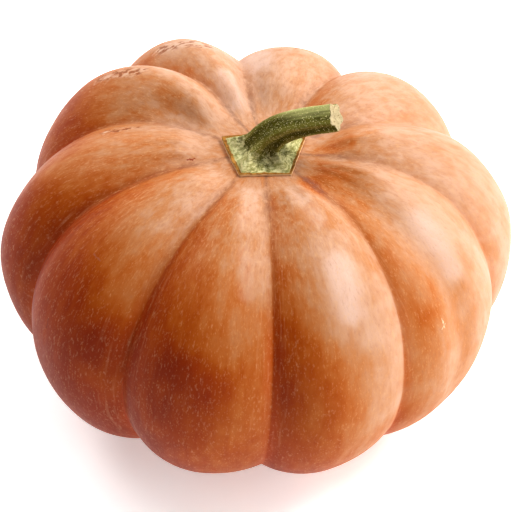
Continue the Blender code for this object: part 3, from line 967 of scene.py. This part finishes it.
def skin_material():
    """Waxy orange skin with clouds, grooves, speckles, scratches, corky patches and painted sheen."""
    n = Nodes("pumpkin_skin_waxy")
    flow = n.attribute("flow", "Vector")
    field = n.attribute("field", "Vector")
    rest = n.attribute("rest", "Vector")
    crest = n.attribute("crest")
    way = n.attribute("way")
    # Each noise has its scale per metre, its detail, its roughness and how distorted it is.
    clouds = n.noise(rest, 22, 4, 0.55, 0.3)
    patches = n.noise(n.stretched(field, z=0.45), 62, 5, 0.55, 0.4)
    mottle = n.noise(n.stretched(field, z=0.50), 165, 4, 0.62)
    streaks = n.noise(n.stretched(field, z=0.07), 190, 4, 0.55, 0.5)
    lines = n.noise(n.stretched(flow, z=0.07), 520, 3, 0.6)
    hairs = n.noise(n.stretched(field, z=0.045), 620, 3, 0.6, 0.3)
    grain = n.noise(n.stretched(flow, z=0.40), 760, 3, 0.7)
    uneven = n.total(crest, n.swing(patches, 0.25, 0.75, 0.04))

    # Clouds, patches and streaks shift how ripe each spot looks, and the ramp gives its colour.
    # The grooves are riper than what lies beside them.
    # The ripeness read here holds painted light: paler towards the lamps, and the painted clouds of
    # sheen and light.
    ripe_and_lit = n.maths("MAXIMUM", n.attribute("ripe_and_lit"), LEAST_RIPE)
    ripe_and_lit = n.product(ripe_and_lit, n.band(uneven, 0.26, 0.03, 1.0, 1.12))
    cloudiness = n.total(n.swing(patches, 0.25, 0.75, 0.09), n.swing(mottle, 0.28, 0.72, 0.04),
                         n.swing(grain, 0.28, 0.72, 0.03))
    ripe_and_lit = n.total(ripe_and_lit, n.swing(clouds, 0.30, 0.70, 0.07),
                   n.product(cloudiness, n.band(way, 0.06, 0.32, 0.50, 1.0)),
                   n.product(n.swing(streaks, 0.25, 0.75, 1), n.band(way, 0.05, 0.35, 0.12, 0.05)))
    colour = n.ramp(ripe_and_lit, SKIN_COLOURS)
    # Painted sheen, whitish-lilac, where the lamps glint on the shoulders.
    colour = n.tinted(colour, SHEEN_WHITE, n.attribute("painted_sheen"), n.band(patches, 0.30, 0.60, 0.7, 1.0))

    # The grooves' bottoms are brown by the stem and burnt orange further out, with fine lines along
    # their sides. The burnt orange is partly painted light, brightened to stand in for light glowing
    # through the skin in the grooves. Close round the stem there are fine hairlines and a grey cast.
    deep = n.blend(n.band(way, 0.16, 0.36), GROOVE_BROWN, GROOVE_BURNT_AND_GLOW)
    by_stem = n.band(way, 0.30, 0.08)
    colour = n.tinted(colour, deep, n.band(uneven, 0.17, 0.0), n.band(ripe_and_lit, 0.05, 0.50, 0.06, 0.44))
    colour = n.tinted(colour, PALE, n.band(lines, 0.52, 0.74), n.band(crest, 0.45, 0.06, 0.04, 0.22))
    colour = n.tinted(colour, PALE, n.band(hairs, 0.56, 0.68, 0.0, 0.40), by_stem)
    colour = n.tinted(colour, GROOVE_BROWN, n.band(hairs, 0.42, 0.32, 0.0, 0.20), by_stem)
    colour = n.tinted(colour, GROOVE_GREY, n.band(way, 0.15, 0.02), n.band(uneven, 0.30, 0.03),
                      n.band(streaks, 0.35, 0.65, 0.12, 0.52))

    # A fine grain of short flecks, and pale speckles, which are stronger low down.
    colour = n.tinted(colour, PALE, n.band(grain, 0.52, 0.74, 0.0, 0.36))
    colour = n.tinted(colour, BURNT, n.band(grain, 0.48, 0.28, 0.0, 0.18))
    fine = n.speckles(n.stretched(flow, z=0.50), 900, 0.34, 0.15)
    colour = n.tinted(colour, SPECKLE, fine, n.band(way, 0.12, 0.38, 0.08, 0.19))

    # Old scratches, and corky patches that have cracked.
    colour = scratched(n, colour, rest)
    cork = corky(n, rest)
    cracks = n.noise(n.stretched(rest, x=0.6), 330, 3, 0.6)
    cracked = n.product(cork, n.band(cracks, 0.52, 0.58))
    colour = n.tinted(colour, CORK, cork, n.band(cracks, 0.53, 0.40, 0.2, 0.9))
    colour = n.tinted(colour, CRACK, cracked)
    n.give("Base Color", colour)

    n.give("Roughness", n.band(mottle, 0.3, 0.7, 0.37, 0.45))
    n.give("Specular IOR Level", 0.11)
    relief = n.bump(mottle, 0.0005, 0.3)
    relief = n.bump(grain, 0.0002, 0.25, relief)
    relief = n.bump(n.product(cracked, -1.0), 0.0008, 0.5, relief)
    n.give("Normal", relief)
    return n.material


def stalk_material():
    """The stem's dull green, its felted foot with a corky rim, and the cut."""
    n = Nodes("pumpkin_stalk_green")
    place = n.place()
    flow = n.attribute("flow", "Vector")
    cut = n.attribute("cut")
    fibres = n.noise(n.stretched(flow, z=0.14), 700, 4, 0.6)
    mottle = n.noise(place, 230, 4, 0.6)
    felt = n.noise(n.stretched(flow, z=0.5), 1100, 3, 0.7)
    patches = n.noise(place, 420, 4, 0.6, 0.5)
    pits = n.noise(place, 900, 3, 0.6)

    # The neck: olive, with lighter ridges and pale dots, and painted light: a paler upper side where the
    # lamps above fall on it, and a pale strip of painted rim light along its upper edge.
    fibrous = n.total(n.swing(fibres, 0.30, 0.70, 0.25), n.band(mottle, 0.35, 0.65, 0.25, 0.75))
    colour = n.blend(fibrous, DARK_OLIVE, OLIVE)
    ridged = n.band(n.attribute("ridge"), 0.35, 1.0)
    colour = n.tinted(colour, LIGHT_OLIVE, ridged, n.band(fibres, 0.30, 0.65, 0.4, 1.0))
    # Painted light on the upper side.
    paler = n.band(n.attribute("upper"), 0.45, 0.95)
    colour = n.tinted(colour, UPPER_LIT_GREEN, paler, n.band(fibres, 0.25, 0.60, 0.6, 1.0))
    colour = n.tinted(colour, PALE_GREEN, n.speckles(place, 1450, 0.44, 0.10), 0.85)
    # Painted rim light: a pale strip along the neck's upper edge.
    colour = n.tinted(colour, RIM_LIGHT_TAN, n.attribute("rim_light"), n.band(mottle, 0.35, 0.60, 0.7, 1.0))

    # The foot: paler and felted, and dark in its hollows.
    felted = n.blend(n.band(felt, 0.34, 0.64), FELT, FELT_PALE)
    uneven = n.total(patches, n.swing(felt, 0.3, 0.7, 0.12))
    felted = n.tinted(felted, FELT_DARK, n.band(uneven, 0.52, 0.34, 0.0, 0.28))
    shaded = n.total(n.attribute("shade"), n.swing(uneven, 0.3, 0.7, -0.20))
    felted = n.tinted(felted, DARK_OLIVE, n.band(shaded, 0.25, 0.95, 0.0, 0.66))
    felted = n.tinted(felted, PALE_GREEN, n.speckles(place, 1500, 0.38, 0.20), 0.7)
    feather = n.total(n.attribute("foot"), n.swing(uneven, 0.3, 0.7, 0.10))
    colour = n.tinted(colour, felted, n.band(feather, 0.05, 0.25))

    # The corky rim with its cream edge, and the cut face with its pits.
    rim = n.blend(n.band(patches, 0.35, 0.65), RIM_BROWN, RIM_ORANGE)
    ragged_rim = n.total(n.attribute("rim"), n.swing(felt, 0.3, 0.7, 0.25))
    colour = n.tinted(colour, rim, n.band(ragged_rim, 0.30, 0.60))
    colour = n.tinted(colour, RIM_CREAM, n.band(n.attribute("edge"), 0.3, 0.8))
    face = n.blend(n.band(pits, 0.56, 0.70), CUT_CREAM, CUT_BROWN)
    colour = n.tinted(colour, face, n.band(cut, 0.3, 0.8))
    n.give("Base Color", colour)

    n.give("Roughness", 0.65)
    n.give("Specular IOR Level", 0.15)
    relief = n.bump(felt, 0.0008, 0.6)
    n.give("Normal", n.bump(n.product(pits, cut), 0.0008, 0.8, relief))
    return n.material


def floor_material():
    """Matt, nearly white, and glowing more further out."""
    n = Nodes("studio_floor")
    n.give("Base Color", (0.90, 0.90, 0.90))
    n.give("Roughness", 0.9)
    n.give("Emission Color", (1, 1, 1))
    distance = n.vector_maths("DISTANCE", n.place(), (0, 0, 0), "Value")
    glow = n.band(distance, GLOW_RISE_START, GLOW_RISE_END, FLOOR_GLOW, FAR_GLOW)
    n.give("Emission Strength", glow)
    return n.material


def make_floor():
    """A pale floor that curves up behind and glows faintly, as a lit studio table does."""
    profile = [(-FLOOR_HALF_SIZE, 0.0), (FLOOR_BACK, 0.0)]
    for angle in np.linspace(0.1, math.pi / 2, FLOOR_CURVE_STEPS):
        rise = FLOOR_CURVE_RADIUS - FLOOR_CURVE_RADIUS * math.cos(angle)
        profile.append((FLOOR_BACK + FLOOR_CURVE_RADIUS * math.sin(angle), rise))
    profile.append((FLOOR_BACK + FLOOR_CURVE_RADIUS, FLOOR_TOP))
    count = len(profile)
    points = [(x, y, z) for x in (-FLOOR_HALF_SIZE, FLOOR_HALF_SIZE) for y, z in profile]
    faces = [(i, count + i, count + i + 1, i + 1) for i in range(count - 1)]
    floor = mesh_piece("floor", points, faces)
    floor.data.materials.append(floor_material())


def soft_light(name, azimuth, elevation, width, height, power):
    """A soft light panel that faces the fruit's middle from LIGHT_DISTANCE away."""
    light = bpy.data.lights.new(name, "AREA")
    light.shape = "RECTANGLE"
    light.size = width
    light.size_y = height
    light.energy = power
    lamp = add_object(name, light)
    direction = Vector(toward(math.radians(azimuth), math.radians(elevation)))
    lamp.location = FRUIT_MIDDLE + direction * LIGHT_DISTANCE
    lamp.rotation_euler = direction.to_track_quat("Z", "Y").to_euler()


def make_light():
    """The light panels, a faint light from all round, and how the picture shows them."""
    world = bpy.data.worlds.new("studio")
    world.use_nodes = True
    sky = world.node_tree.nodes["Background"].inputs
    sky["Color"].default_value = (1, 1, 1, 1)
    sky["Strength"].default_value = WORLD_STRENGTH
    bpy.context.scene.world = world
    for panel in LIGHT_PANELS:
        soft_light(*panel)
    bpy.context.scene.view_settings.view_transform = "Standard"
    bpy.context.scene.view_settings.gamma = PICTURE_GAMMA


def make_camera():
    """The camera, whose picture has the core's size and place in the photograph."""
    camera = bpy.data.cameras.new("camera")
    camera.sensor_width = SENSOR_WIDTH
    pixels_at_one_metre = PIXELS_PER_METRE * CAMERA_DISTANCE
    camera.lens = pixels_at_one_metre / IMAGE_SIZE * camera.sensor_width
    camera.shift_x = (IMAGE_SIZE / 2 - MIDDLE_PIXEL[0]) / IMAGE_SIZE
    camera.shift_y = (MIDDLE_PIXEL[1] - IMAGE_SIZE / 2) / IMAGE_SIZE
    camera.clip_end = FARTHEST_SEEN
    viewer = add_object("camera", camera)
    viewer.location = FRUIT_MIDDLE + Vector(toward(0, CAMERA_ELEVATION)) * CAMERA_DISTANCE
    viewer.rotation_euler = (math.pi / 2 - CAMERA_ELEVATION, 0, 0)
    bpy.context.scene.camera = viewer


fruit = make_fruit()
fruit.data.materials.append(skin_material())
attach(fruit, "root")
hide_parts("pumpkin_fruit")

stem = make_stem()
stem.data.materials.append(stalk_material())
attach(stem, "root")
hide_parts("pumpkin_stem")

make_floor()
make_light()
make_camera()
